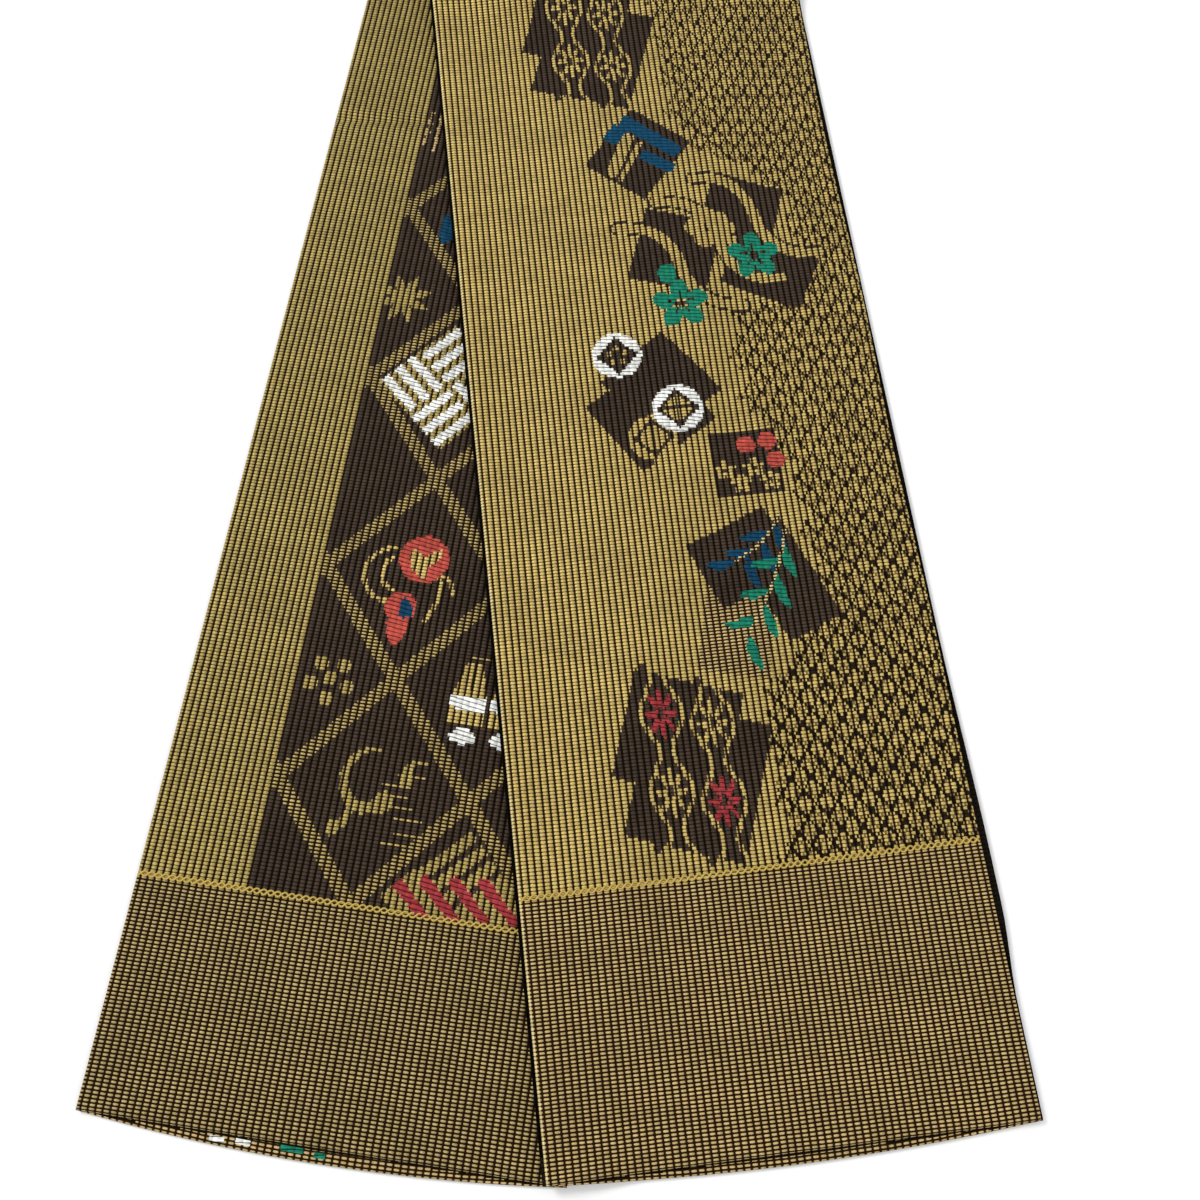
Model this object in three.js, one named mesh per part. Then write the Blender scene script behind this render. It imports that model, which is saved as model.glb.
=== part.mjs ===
/**
 * A tube-woven half-width obi sash, laid out flat on a surface.
 *
 * The sash is one long flat tube of stiff jacquard cloth: two plies, a face and a back, joined
 * along both sides and sewn shut at both ends. Its two ends lie side by side as a pair of legs
 * that lean towards each other and cross: the te leg underneath, the tare leg on top. Beyond
 * the crossing, the rest of the length is folded to and fro in a neat stack. The te leg runs in
 * under the stack and turns up into its lowest layer; the tare leg comes off its highest layer.
 *
 * Units are millimetres, +Z is up. X runs across the pair of legs, and Y runs from their sewn
 * ends towards the stack. The origin is the middle of the footprint, on the surface.
 */
import * as THREE from 'three';

// ---------------------------------------------------------------- driving dimensions

const bandWidth = 160;
const plyThickness = 1.2;
const seamGap = 0.3;
const bandThickness = 2 * plyThickness + seamGap;
const layerPitch = bandThickness + seamGap;

// The sewn ends: their centres stand this far apart, and each leg leans from the Y axis.
const endSpacing = 152.2;
const endStagger = 1.2;
const teLean = THREE.MathUtils.degToRad(8.2);
const tareLean = THREE.MathUtils.degToRad(-6.8);

// The folded stack: where it starts and stops along Y, and how many layers lie between the legs.
const stackNear = 553;
const stackFar = 883;
const stackLayers = 6;

// How far the under ply peeps out beyond the seam at the middle of each sewn end.
const teEndPeep = 4.5;
const tareEndPeep = 3.5;

// The tare leg sinks to the surface over this distance beside the te leg, and climbs to the
// top of the stack between these two distances from its own sewn end.
const drapeRun = 26;
const climbStart = 450;
const climbEnd = 538;

// Rounding of the woven sides: how far in from the side it starts, and how deep it goes.
const sideRounding = [
  { inward: 0, depth: 0.8 },
  { inward: 0.7, depth: 0.3 },
  { inward: 2, depth: 0 },
];

// ---------------------------------------------------------------- cloth colours and finishes

const goldCloth = { color: 0x8e7b47, roughness: 0.62, metalness: 0.25 };
const bandCloth = { color: 0x6a5739, roughness: 0.66, metalness: 0.2 };

// ---------------------------------------------------------------- layout of the two legs

/** Rises smoothly from 0 to 1 as a value goes from a start to an end. */
function smoothStep(value, start, end) {
  return THREE.MathUtils.smoothstep(value, start, end);
}

/** One leg: a straight run of the band from the centre of its sewn end, leaning from the Y axis. */
class Leg {
  constructor(endX, endY, lean) {
    this.end = new THREE.Vector2(endX, endY);
    this.along = new THREE.Vector2(Math.sin(lean), Math.cos(lean));
    this.across = new THREE.Vector2(Math.cos(lean), -Math.sin(lean));
    this.length = (stackFar - endY) / Math.cos(lean);
  }

  /** The plan point at a distance from the sewn end, and a distance to the right of the middle. */
  plan(fromEnd, right) {
    return this.end.clone().addScaledVector(this.along, fromEnd).addScaledVector(this.across, right);
  }

  /** How far a plan point lies to the right of this leg's middle line. */
  rightOf(point) {
    return point.clone().sub(this.end).dot(this.across);
  }

  /** Where the middle line of this leg crosses a given Y. */
  middleAt(y) {
    return this.plan((y - this.end.y) / this.along.y, 0);
  }
}

const teLeg = new Leg(-endSpacing / 2, endStagger / 2, teLean);
const tareLeg = new Leg(endSpacing / 2, -endStagger / 2, tareLean);

const stackTop = (1 + stackLayers) * layerPitch;

/** Height of the tare leg's underside: on the surface, over the te leg, then up on to the stack. */
function tareUnderside(fromEnd, right) {
  const clearOfTe = teLeg.rightOf(tareLeg.plan(fromEnd, right)) - bandWidth / 2;
  const overTe = layerPitch * (1 - smoothStep(clearOfTe, 0, drapeRun));
  return THREE.MathUtils.lerp(overTe, stackTop, smoothStep(fromEnd, climbStart, climbEnd));
}

// ---------------------------------------------------------------- plies of the legs

/** Evenly spaced distances from start to end, both included. */
function evenSteps(start, end, count) {
  return Array.from({ length: count + 1 }, (_, i) => start + ((end - start) * i) / count);
}

/** Distances across the band: even in the middle, and closer where the sides are rounded. */
function columnsAcross(innerCount) {
  const half = bandWidth / 2;
  const insets = sideRounding.map((row) => row.inward);
  const left = insets.map((inward) => inward - half);
  const right = insets.map((inward) => half - inward).reverse();
  const lastInset = insets[insets.length - 1];
  const inner = evenSteps(lastInset - half, half - lastInset, innerCount).slice(1, -1);
  return [...left, ...inner, ...right];
}

/** How much a point near a woven side is rounded off the ply's outer surface. */
function roundingAt(right) {
  const inward = bandWidth / 2 - Math.abs(right);
  const row = sideRounding.findLast((entry) => inward >= entry.inward - 1e-6);
  return row.depth;
}

/**
 * A ply as a closed solid wall. Both of its surfaces are grids of rows along the leg and columns
 * across it, joined by a strip of faces round the outside.
 */
function plyGeometry({ leg, rows, columns, rowAt, bottomAt, topAt }) {
  const positions = [];
  for (const heightAt of [bottomAt, topAt]) {
    for (const row of rows) {
      for (const right of columns) {
        const fromEnd = rowAt(row, right);
        const point = leg.plan(fromEnd, right);
        positions.push(point.x, point.y, heightAt(fromEnd, right));
      }
    }
  }

  const columnCount = columns.length;
  const gridSize = rows.length * columnCount;
  const lastRow = rows.length - 1;
  const lastColumn = columnCount - 1;
  const corner = (row, column) => row * columnCount + column;
  const indices = [];
  const addQuad = (a, b, c, d) => indices.push(a, b, c, a, c, d);

  for (let row = 0; row < lastRow; row += 1) {
    for (let column = 0; column < lastColumn; column += 1) {
      const a = corner(row, column);
      const b = corner(row, column + 1);
      const c = corner(row + 1, column + 1);
      const d = corner(row + 1, column);
      addQuad(a, d, c, b);
      addQuad(gridSize + a, gridSize + b, gridSize + c, gridSize + d);
    }
  }

  const addWall = (from, to) => addQuad(from, to, gridSize + to, gridSize + from);
  for (let column = 0; column < lastColumn; column += 1) {
    addWall(corner(0, column), corner(0, column + 1));
    addWall(corner(lastRow, column + 1), corner(lastRow, column));
  }
  for (let row = 0; row < lastRow; row += 1) {
    addWall(corner(row, lastColumn), corner(row + 1, lastColumn));
    addWall(corner(row + 1, 0), corner(row, 0));
  }
  return solidFrom(positions, indices);
}

/** A geometry from flat lists of coordinates and of triangle corners. */
function solidFrom(positions, indices) {
  const geometry = new THREE.BufferGeometry();
  geometry.setAttribute('position', new THREE.Float32BufferAttribute(positions, 3));
  geometry.setIndex(indices);
  geometry.computeVertexNormals();
  return geometry;
}

/** The face ply of a leg: the upper wall of the tube, rounded down at both sides. */
function facePly(leg, undersideAt, rows, columns) {
  const lift = plyThickness + seamGap;
  return plyGeometry({
    leg,
    rows,
    columns,
    rowAt: (row) => row,
    bottomAt: (fromEnd, right) => undersideAt(fromEnd, right) + lift,
    topAt: (fromEnd, right) => undersideAt(fromEnd, right) + bandThickness - roundingAt(right),
  });
}

/** The back ply of a leg: the lower wall, flat where it rests, bowed out at the sewn end. */
function backPly(leg, undersideAt, rows, columns, endPeep) {
  const fadeAway = rows[1] - rows[0];
  const bowAt = (right) => endPeep * (1 - (2 * right / bandWidth) ** 2);
  return plyGeometry({
    leg,
    rows,
    columns,
    rowAt: (row, right) => row - bowAt(right) * (1 - smoothStep(row, 0, fadeAway)),
    bottomAt: (fromEnd, right) => undersideAt(fromEnd, right) + roundingAt(right),
    topAt: (fromEnd, right) => undersideAt(fromEnd, right) + plyThickness,
  });
}

// ---------------------------------------------------------------- the folded stack

/**
 * The turns at the two ends of the stack. A turn joins two layers in one rounded nose, so its
 * height decides how far each level of the stack is drawn in from the tip of the nose.
 */
const noseRadius = (layerPitch + bandThickness) / 2;
const sideGroove = 1;
const cornerCut = 1.5;

function noseInset(heightFromMiddle) {
  const reach = Math.min(Math.abs(heightFromMiddle), noseRadius);
  return noseRadius - Math.sqrt(noseRadius ** 2 - reach ** 2);
}

/** A line in plan: a point on it, and the direction that leads away from the layer. */
function edgeLine(point, outward) {
  return { point, outward };
}

function moveIn(line, distance) {
  return edgeLine(line.point.clone().addScaledVector(line.outward, -distance), line.outward);
}

function crossing(first, second) {
  const a = first.outward;
  const b = second.outward;
  const scale = a.x * b.y - a.y * b.x;
  const p = a.dot(first.point);
  const q = b.dot(second.point);
  return new THREE.Vector2((p * b.y - q * a.y) / scale, (q * a.x - p * b.x) / scale);
}

function heading(lean) {
  return new THREE.Vector2(Math.sin(lean), Math.cos(lean));
}

/** The four edges of a layer that runs at a lean between a near turn and a far turn. */
function layerEdges(middle, lean, nearTurn, farTurn) {
  const along = heading(lean);
  const right = new THREE.Vector2(along.y, -along.x);
  const side = (sign) => edgeLine(
    middle.clone().addScaledVector(right, (sign * bandWidth) / 2),
    right.clone().multiplyScalar(sign),
  );
  return { near: nearTurn, right: side(1), far: farTurn, left: side(-1) };
}

/** One level of the stack: its four edges drawn in, with each corner cut across. */
function levelOutline(edges, insets) {
  const order = ['near', 'right', 'far', 'left'];
  const lines = order.map((name) => moveIn(edges[name], insets[name]));
  const corners = lines.map((line, i) => crossing(line, lines[(i + 1) % 4]));
  return corners.flatMap((corner, i) => {
    const before = corners[(i + 3) % 4].clone().sub(corner).setLength(cornerCut);
    const after = corners[(i + 1) % 4].clone().sub(corner).setLength(cornerCut);
    return [corner.clone().add(before), corner.clone().add(after)];
  });
}

/** The stack's layers, lowest first: the lean of each one and the turns it runs between. */
function stackPlan() {
  const teMiddle = teLeg.middleAt(stackNear);
  const tareMiddle = tareLeg.middleAt(stackNear);
  const blockMiddle = teMiddle.clone().lerp(tareMiddle, 0.5);

  const nearTurn = (point, lean) => edgeLine(point, heading(lean).negate());
  const farTurn = (point, lean) => edgeLine(point, heading(lean));
  const nearTe = nearTurn(teMiddle, teLean / 2);
  const nearBlock = nearTurn(blockMiddle, 0);
  const nearTare = nearTurn(tareMiddle, tareLean / 2);
  const farTe = farTurn(teLeg.plan(teLeg.length, 0), teLean);
  const farBlock = farTurn(new THREE.Vector2(blockMiddle.x, stackFar), 0);
  const farTare = farTurn(tareLeg.plan(tareLeg.length, 0), tareLean);

  return [
    { middle: teMiddle, lean: teLean, near: nearTe, far: farTe },
    { middle: blockMiddle, lean: 0, near: nearTe, far: farBlock },
    { middle: blockMiddle, lean: 0, near: nearBlock, far: farBlock },
    { middle: blockMiddle, lean: 0, near: nearBlock, far: farBlock },
    { middle: blockMiddle, lean: 0, near: nearTare, far: farBlock },
    { middle: tareMiddle, lean: tareLean, near: nearTare, far: farTare },
  ];
}

/** The hidden layers as one solid: a column of outlines, drawn in at every groove. */
function stackGeometry() {
  const levels = [];
  stackPlan().forEach((layer, index) => {
    const floor = (index + 1) * layerPitch;
    const edges = layerEdges(layer.middle, layer.lean, layer.near, layer.far);
    // Odd layers turn at the near end with the layer above them, even ones at the far end.
    const nearMiddle = index % 2 === 0 ? floor + noseRadius : floor - layerPitch + noseRadius;
    const farMiddle = index % 2 === 0 ? floor - layerPitch + noseRadius : floor + noseRadius;
    const heights = [
      { height: floor, groove: sideGroove },
      { height: floor + bandThickness * 0.25, groove: 0.2 },
      { height: floor + bandThickness * 0.75, groove: 0.2 },
      { height: floor + bandThickness, groove: sideGroove },
    ];
    const legEnd = index === 0 || index === stackLayers - 1;
    for (const { height, groove } of heights) {
      const near = noseInset(height - nearMiddle);
      const far = legEnd ? seamGap : noseInset(height - farMiddle);
      const outline = levelOutline(edges, { near, right: groove, far, left: groove });
      levels.push({ height, outline });
    }
  });

  const sides = levels[0].outline.length;
  const positions = [];
  for (const { height, outline } of levels) {
    for (const point of outline) {
      positions.push(point.x, point.y, height);
    }
  }
  const indices = [];
  for (let level = 0; level + 1 < levels.length; level += 1) {
    for (let side = 0; side < sides; side += 1) {
      const a = level * sides + side;
      const b = level * sides + ((side + 1) % sides);
      indices.push(a, b, b + sides, a, b + sides, a + sides);
    }
  }
  const topStart = (levels.length - 1) * sides;
  for (let side = 1; side + 1 < sides; side += 1) {
    indices.push(0, side + 1, side);
    indices.push(topStart, topStart + side, topStart + side + 1);
  }
  return solidFrom(positions, indices);
}

/** The turn at a leg's far end, where the band rolls over into the stack: a rounded nose. */
function turnGeometry(leg, floor) {
  const half = bandWidth / 2;
  const bluntness = 6;
  const profile = [];
  for (let i = 0; i <= bluntness; i += 1) {
    const angle = (Math.PI * i) / bluntness;
    profile.push({
      out: seamGap + (noseRadius - seamGap) * Math.sin(angle),
      up: noseRadius * (1 - Math.cos(angle)),
    });
  }
  const stations = [
    { right: -half + seamGap, size: 0.8 },
    { right: -half + 2, size: 1 },
    { right: half - 2, size: 1 },
    { right: half - seamGap, size: 0.8 },
  ];
  const positions = [];
  for (const { right, size } of stations) {
    for (const { out, up } of profile) {
      const point = leg.plan(leg.length + seamGap + (out - seamGap) * size, right);
      positions.push(point.x, point.y, floor + noseRadius + (up - noseRadius) * size);
    }
  }
  const ring = profile.length;
  const indices = [];
  for (let station = 0; station + 1 < stations.length; station += 1) {
    for (let i = 0; i < ring; i += 1) {
      const a = station * ring + i;
      const b = station * ring + ((i + 1) % ring);
      indices.push(a, b + ring, a + ring, a, b, b + ring);
    }
  }
  const last = (stations.length - 1) * ring;
  for (let i = 1; i + 1 < ring; i += 1) {
    indices.push(0, i + 1, i);
    indices.push(last, last + i, last + i + 1);
  }
  return solidFrom(positions, indices);
}

// ---------------------------------------------------------------- the sash

function pieceMesh(name, geometry, finish) {
  const mesh = new THREE.Mesh(geometry, new THREE.MeshStandardMaterial(finish));
  mesh.name = name;
  return mesh;
}

const flatUnderside = () => 0;
const teRows = [...evenSteps(0, 90, 3), ...evenSteps(90, teLeg.length, 6).slice(1)];
const tareRows = [
  ...evenSteps(0, climbStart - 10, 12),
  ...evenSteps(climbStart - 10, climbEnd + 6, 10).slice(1),
  ...evenSteps(climbEnd + 6, tareLeg.length, 4).slice(1),
];
const teColumns = columnsAcross(8);
const tareColumns = columnsAcross(18);

const sash = new THREE.Group();
sash.add(
  pieceMesh('te_back', backPly(teLeg, flatUnderside, teRows, teColumns, teEndPeep), bandCloth),
  pieceMesh('te_face', facePly(teLeg, flatUnderside, teRows, teColumns), goldCloth),
  pieceMesh('te_turn', turnGeometry(teLeg, 0), bandCloth),
  pieceMesh('folded_middle', stackGeometry(), goldCloth),
  pieceMesh('tare_turn', turnGeometry(tareLeg, stackTop - layerPitch), bandCloth),
  pieceMesh('tare_back', backPly(tareLeg, tareUnderside, tareRows, tareColumns, tareEndPeep), bandCloth),
  pieceMesh('tare_face', facePly(tareLeg, tareUnderside, tareRows, tareColumns), goldCloth),
);

const footprint = new THREE.Box3().setFromObject(sash);
const middle = footprint.getCenter(new THREE.Vector3());
sash.position.set(-middle.x, -middle.y, -footprint.min.z);

export default sash;
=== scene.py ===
"""A tube-woven half-width obi sash, laid out flat, dressed with its jacquard cloth.

Metres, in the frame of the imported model. The two legs of the sash are the te leg, underneath
on the left, and the tare leg, on top on the right. On each leg a place is given in millimetres:
x to the right of the leg's middle line, and s from its sewn end.
"""

import math

import bpy
import numpy as np
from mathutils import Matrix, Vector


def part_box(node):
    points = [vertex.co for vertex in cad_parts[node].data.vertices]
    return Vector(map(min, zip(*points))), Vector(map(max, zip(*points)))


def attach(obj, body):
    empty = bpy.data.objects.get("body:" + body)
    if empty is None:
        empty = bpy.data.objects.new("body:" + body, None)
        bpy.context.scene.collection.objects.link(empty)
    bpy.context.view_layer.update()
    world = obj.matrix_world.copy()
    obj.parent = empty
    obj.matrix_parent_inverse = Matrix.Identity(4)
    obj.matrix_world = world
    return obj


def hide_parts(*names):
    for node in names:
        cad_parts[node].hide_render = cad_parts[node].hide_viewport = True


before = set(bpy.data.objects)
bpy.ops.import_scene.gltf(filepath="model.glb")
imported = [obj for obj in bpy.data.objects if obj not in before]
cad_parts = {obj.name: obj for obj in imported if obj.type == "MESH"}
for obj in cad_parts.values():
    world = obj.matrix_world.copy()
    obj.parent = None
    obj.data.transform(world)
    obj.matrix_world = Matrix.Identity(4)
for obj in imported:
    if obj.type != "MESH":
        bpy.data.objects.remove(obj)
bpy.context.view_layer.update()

# ---------------------------------------------------------------- te leg, back ply
# The lower wall of the te leg: ribbed cloth lying flat on the surface. Its woven sides turn up
# to meet the face ply, and at the sewn end it is bowed out, with its raw edge turned inside.

MM = 0.001
BAND = 160.0
THICKNESS = 2.7
SIDE_RADIUS = THICKNESS / 2
LAYER_PITCH = 3.0
RIBS = 66
PICK = 1.27
TE_LEAN = math.radians(8.2)
TARE_LEAN = math.radians(-6.8)


class Leg:
    """One leg of the sash: where its sewn end lies, which way it runs, and how long it is."""

    def __init__(self, node, lean):
        low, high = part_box(node)
        self.along = np.array([math.sin(lean), math.cos(lean)])
        self.across = np.array([math.cos(lean), -math.sin(lean)])
        reach = (high.y - low.y) / MM - BAND * abs(math.sin(lean))
        self.length = reach / math.cos(lean)
        middle = np.array([low.x + high.x, low.y + high.y]) / (2 * MM)
        self.end = middle - self.along * self.length / 2

    def plan(self, x, s):
        """Plan places, in millimetres of the frame."""
        return self.end + np.outer(s, self.along) + np.outer(x, self.across)

    def right_of(self, plan):
        return (plan - self.end) @ self.across


te_leg = Leg("te_face", TE_LEAN)
tare_leg = Leg("tare_face", TARE_LEAN)


def smooth_step(value, start, end):
    part = np.clip((value - start) / (end - start), 0, 1)
    return part * part * (3 - 2 * part)


def dye(code, shine=0.0):
    """A yarn's colour as linear light, with how metallic it is in the fourth place."""
    channels = [int(code[i : i + 2], 16) / 255 for i in (0, 2, 4)]
    linear = [c / 12.92 if c <= 0.04045 else ((c + 0.055) / 1.055) ** 2.4 for c in channels]
    return (*linear, shine)


GOLD = dye("b59d59", 0.3)
# Painted shade: the te leg's gold is the tare's gold yarn made darker, as the te leg catches less
# light.
TE_SHADED_GOLD = dye("988548", 0.3)
DULL_GOLD = dye("a08c57", 0.25)
BEIGE = dye("b29967", 0.2)
# Painted shade: the te leg's end band is the tare's beige made darker in the same way.
TE_SHADED_BEIGE = dye("a08c5d", 0.2)
BROWN = dye("3c3128")
# Painted shade: the near-black brown of the grooves between the weave's pads, and of the line under
# each face's sewn end.
PAINTED_SHADE = dye("110800")
FULL, THIN, FLOAT = 0.0, 1.0, 2.0


def add_math(tree, operation, *values, clamp=False):
    """A Math node in a tree, fed by sockets or plain numbers."""
    node = tree.nodes.new("ShaderNodeMath")
    node.operation = operation
    node.use_clamp = clamp
    for socket, value in zip(node.inputs, values):
        if isinstance(value, bpy.types.NodeSocket):
            tree.links.new(value, socket)
        else:
            socket.default_value = value
    return node.outputs[0]


def add_mix(tree, kind, factor, first, second):
    """A colour Mix node in a tree."""
    node = tree.nodes.new("ShaderNodeMix")
    node.data_type = "RGBA"
    node.blend_type = kind
    for socket, value in zip((node.inputs[0], node.inputs[6], node.inputs[7]), (factor, first, second)):
        if isinstance(value, bpy.types.NodeSocket):
            tree.links.new(value, socket)
        else:
            socket.default_value = value
    return node.outputs[2]


def build_weave_group():
    """The ribbed weave: rounded pads of weft over each rib, in a grid of ribs and picks, with painted
    shade in the gaps between pads and painted highlights and glints on them.
    """
    tree = bpy.data.node_groups.new("ribbed weave", "ShaderNodeTree")
    sockets = (
        ("Cloth", "INPUT", "NodeSocketVector"),
        ("Yarn", "INPUT", "NodeSocketColor"),
        ("Shine", "INPUT", "NodeSocketFloat"),
        ("Weave", "INPUT", "NodeSocketFloat"),
        ("Color", "OUTPUT", "NodeSocketColor"),
        ("Metallic", "OUTPUT", "NodeSocketFloat"),
        ("Roughness", "OUTPUT", "NodeSocketFloat"),
        ("Height", "OUTPUT", "NodeSocketFloat"),
    )
    for name, direction, kind in sockets:
        tree.interface.new_socket(name=name, in_out=direction, socket_type=kind)
    given = tree.nodes.new("NodeGroupInput").outputs
    result = tree.nodes.new("NodeGroupOutput").inputs

    wander = tree.nodes.new("ShaderNodeTexNoise")
    wander.noise_dimensions = "2D"
    wander.inputs["Scale"].default_value = 0.09
    wander.inputs["Detail"].default_value = 2.0
    tree.links.new(given["Cloth"], wander.inputs["Vector"])
    place = tree.nodes.new("ShaderNodeSeparateXYZ")
    tree.links.new(given["Cloth"], place.inputs[0])
    drift = add_math(tree, "SUBTRACT", wander.outputs[0], 0.5)
    ribs = place.outputs[0]
    picks = add_math(tree, "MULTIPLY_ADD", drift, 0.6, place.outputs[1])

    is_thin = add_math(tree, "COMPARE", given["Weave"], THIN, 0.1)
    is_float = add_math(tree, "COMPARE", given["Weave"], FLOAT, 0.1)
    slanted = add_math(tree, "MULTIPLY_ADD", ribs, 0.22, add_math(tree, "MULTIPLY", picks, 0.8))
    lines = tree.nodes.new("ShaderNodeMix")
    tree.links.new(is_float, lines.inputs[0])
    tree.links.new(picks, lines.inputs[2])
    tree.links.new(slanted, lines.inputs[3])

    across_signed = add_math(tree, "SUBTRACT", add_math(tree, "FRACT", ribs), 0.5)
    along_signed = add_math(tree, "SUBTRACT", add_math(tree, "FRACT", lines.outputs[0]), 0.5)
    across = add_math(tree, "ABSOLUTE", across_signed)
    along = add_math(tree, "ABSOLUTE", along_signed)
    half_across = add_math(tree, "MULTIPLY_ADD", is_float, 0.5, 0.38)
    half_along = add_math(tree, "MULTIPLY_ADD", is_thin, -0.14, 0.45)
    half_along = add_math(tree, "MULTIPLY_ADD", is_float, 0.01, half_along)
    reach_across = add_math(tree, "POWER", add_math(tree, "DIVIDE", across, half_across), 3.2)
    reach_along = add_math(tree, "POWER", add_math(tree, "DIVIDE", along, half_along), 3.2)
    reach = add_math(tree, "ADD", reach_across, reach_along)

    pad = tree.nodes.new("ShaderNodeMapRange")
    pad.interpolation_type = "SMOOTHSTEP"
    tree.links.new(reach, pad.inputs[0])
    for index, value in ((1, 0.6), (2, 1.3), (3, 1.0), (4, 0.0)):
        pad.inputs[index].default_value = value

    cell = tree.nodes.new("ShaderNodeCombineXYZ")
    tree.links.new(add_math(tree, "FLOOR", ribs), cell.inputs[0])
    tree.links.new(add_math(tree, "FLOOR", lines.outputs[0]), cell.inputs[1])
    grain = tree.nodes.new("ShaderNodeTexWhiteNoise")
    grain.noise_dimensions = "2D"
    tree.links.new(cell.outputs[0], grain.inputs["Vector"])
    fibre = tree.nodes.new("ShaderNodeTexNoise")
    fibre.noise_dimensions = "2D"
    fibre.inputs["Scale"].default_value = 2.6
    fibre.inputs["Detail"].default_value = 3.0
    tree.links.new(given["Cloth"], fibre.inputs["Vector"])

    # Tone that differs at random from pad to pad and along the fibres, with painted light added below.
    shade = add_math(tree, "MULTIPLY_ADD", grain.outputs[0], 0.3, 0.9)
    darker = add_math(tree, "SUBTRACT", shade, 0.25)
    shade = add_math(tree, "MULTIPLY_ADD", fibre.outputs[0], 0.5, darker)
    # Painted shade: each rib lighter on its left half and darker on its right, as lit from the left.
    shade = add_math(tree, "MULTIPLY_ADD", across_signed, -0.4, shade)
    # A painted highlight on each pad's crown, darker towards its rim.
    hump = add_math(tree, "MINIMUM", reach, 1.0)
    shade = add_math(tree, "MULTIPLY_ADD", hump, -0.4, add_math(tree, "ADD", shade, 0.14))
    shade = add_math(tree, "MULTIPLY_ADD", drift, 0.5, shade)
    stretched = tree.nodes.new("ShaderNodeCombineXYZ")
    tree.links.new(add_math(tree, "MULTIPLY", ribs, 0.8), stretched.inputs[0])
    tree.links.new(add_math(tree, "MULTIPLY", slanted, 4.5), stretched.inputs[1])
    streak = tree.nodes.new("ShaderNodeTexNoise")
    streak.noise_dimensions = "2D"
    streak.inputs["Scale"].default_value = 1.0
    streak.inputs["Detail"].default_value = 2.0
    tree.links.new(stretched.outputs[0], streak.inputs["Vector"])
    silk = add_math(tree, "MULTIPLY", add_math(tree, "SUBTRACT", streak.outputs[0], 0.5), is_float)
    shade = add_math(tree, "MULTIPLY_ADD", silk, 1.5, shade)
    tint = tree.nodes.new("ShaderNodeCombineColor")
    for index in range(3):
        tree.links.new(shade, tint.inputs[index])
    lit = add_mix(tree, "MULTIPLY", 1.0, given["Yarn"], tint.outputs[0])
    # Painted glints: where the fibre noise runs high, shiny yarn is mixed towards a pale gold
    # highlight.
    glint = tree.nodes.new("ShaderNodeMapRange")
    tree.links.new(fibre.outputs[0], glint.inputs[0])
    for index, value in ((1, 0.48), (2, 0.68), (3, 0.0), (4, 1.1)):
        glint.inputs[index].default_value = value
    glinting = add_math(tree, "MULTIPLY", glint.outputs[0], given["Shine"])
    lit = add_mix(tree, "MIX", glinting, lit, (0.66, 0.58, 0.37, 1))
    # Painted shade in the grooves between pads: a darkened copy of the yarn, mixed with the near-black
    # brown.
    shaded_yarn = add_mix(tree, "MULTIPLY", 1.0, given["Yarn"], (0.1, 0.05, 0.0, 1))
    painted_gap_shade = add_mix(tree, "MIX", 0.75, shaded_yarn, (PAINTED_SHADE[0], PAINTED_SHADE[1], PAINTED_SHADE[2], 1))
    tree.links.new(add_mix(tree, "MIX", pad.outputs[0], painted_gap_shade, lit), result["Color"])
    tree.links.new(add_math(tree, "MULTIPLY", given["Shine"], pad.outputs[0]), result["Metallic"])
    tree.links.new(add_math(tree, "MULTIPLY_ADD", pad.outputs[0], -0.35, 0.9), result["Roughness"])
    crown = add_math(tree, "MULTIPLY_ADD", reach, -0.35, 1.0, clamp=True)
    height = add_math(tree, "MULTIPLY", crown, pad.outputs[0])
    tree.links.new(add_math(tree, "MULTIPLY_ADD", fibre.outputs[0], 0.25, height), result["Height"])
    return tree


weave_group = build_weave_group()


def woven_material(name, bump=0.9):
    """A cloth whose yarn and weave are read from the piece's own attributes."""
    material = bpy.data.materials.new(name)
    material.use_nodes = True
    tree = material.node_tree
    shader = tree.nodes["Principled BSDF"]
    cloth = tree.nodes.new("ShaderNodeUVMap")
    cloth.uv_map = "cloth"
    yarn = tree.nodes.new("ShaderNodeAttribute")
    yarn.attribute_name = "yarn"
    weave = tree.nodes.new("ShaderNodeAttribute")
    weave.attribute_name = "weave"
    group = tree.nodes.new("ShaderNodeGroup")
    group.node_tree = weave_group
    tree.links.new(cloth.outputs[0], group.inputs["Cloth"])
    tree.links.new(yarn.outputs["Color"], group.inputs["Yarn"])
    tree.links.new(yarn.outputs["Alpha"], group.inputs["Shine"])
    tree.links.new(weave.outputs["Fac"], group.inputs["Weave"])
    relief = tree.nodes.new("ShaderNodeBump")
    relief.inputs["Strength"].default_value = bump
    relief.inputs["Distance"].default_value = 0.3 * MM
    tree.links.new(group.outputs["Height"], relief.inputs["Height"])
    tree.links.new(relief.outputs[0], shader.inputs["Normal"])
    tree.links.new(group.outputs["Color"], shader.inputs["Base Color"])
    tree.links.new(group.outputs["Metallic"], shader.inputs["Metallic"])
    tree.links.new(group.outputs["Roughness"], shader.inputs["Roughness"])
    shader.inputs["Specular IOR Level"].default_value = 0.06
    shader.inputs["Sheen Weight"].default_value = 0.02
    shader.inputs["Sheen Roughness"].default_value = 0.4
    return material


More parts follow.
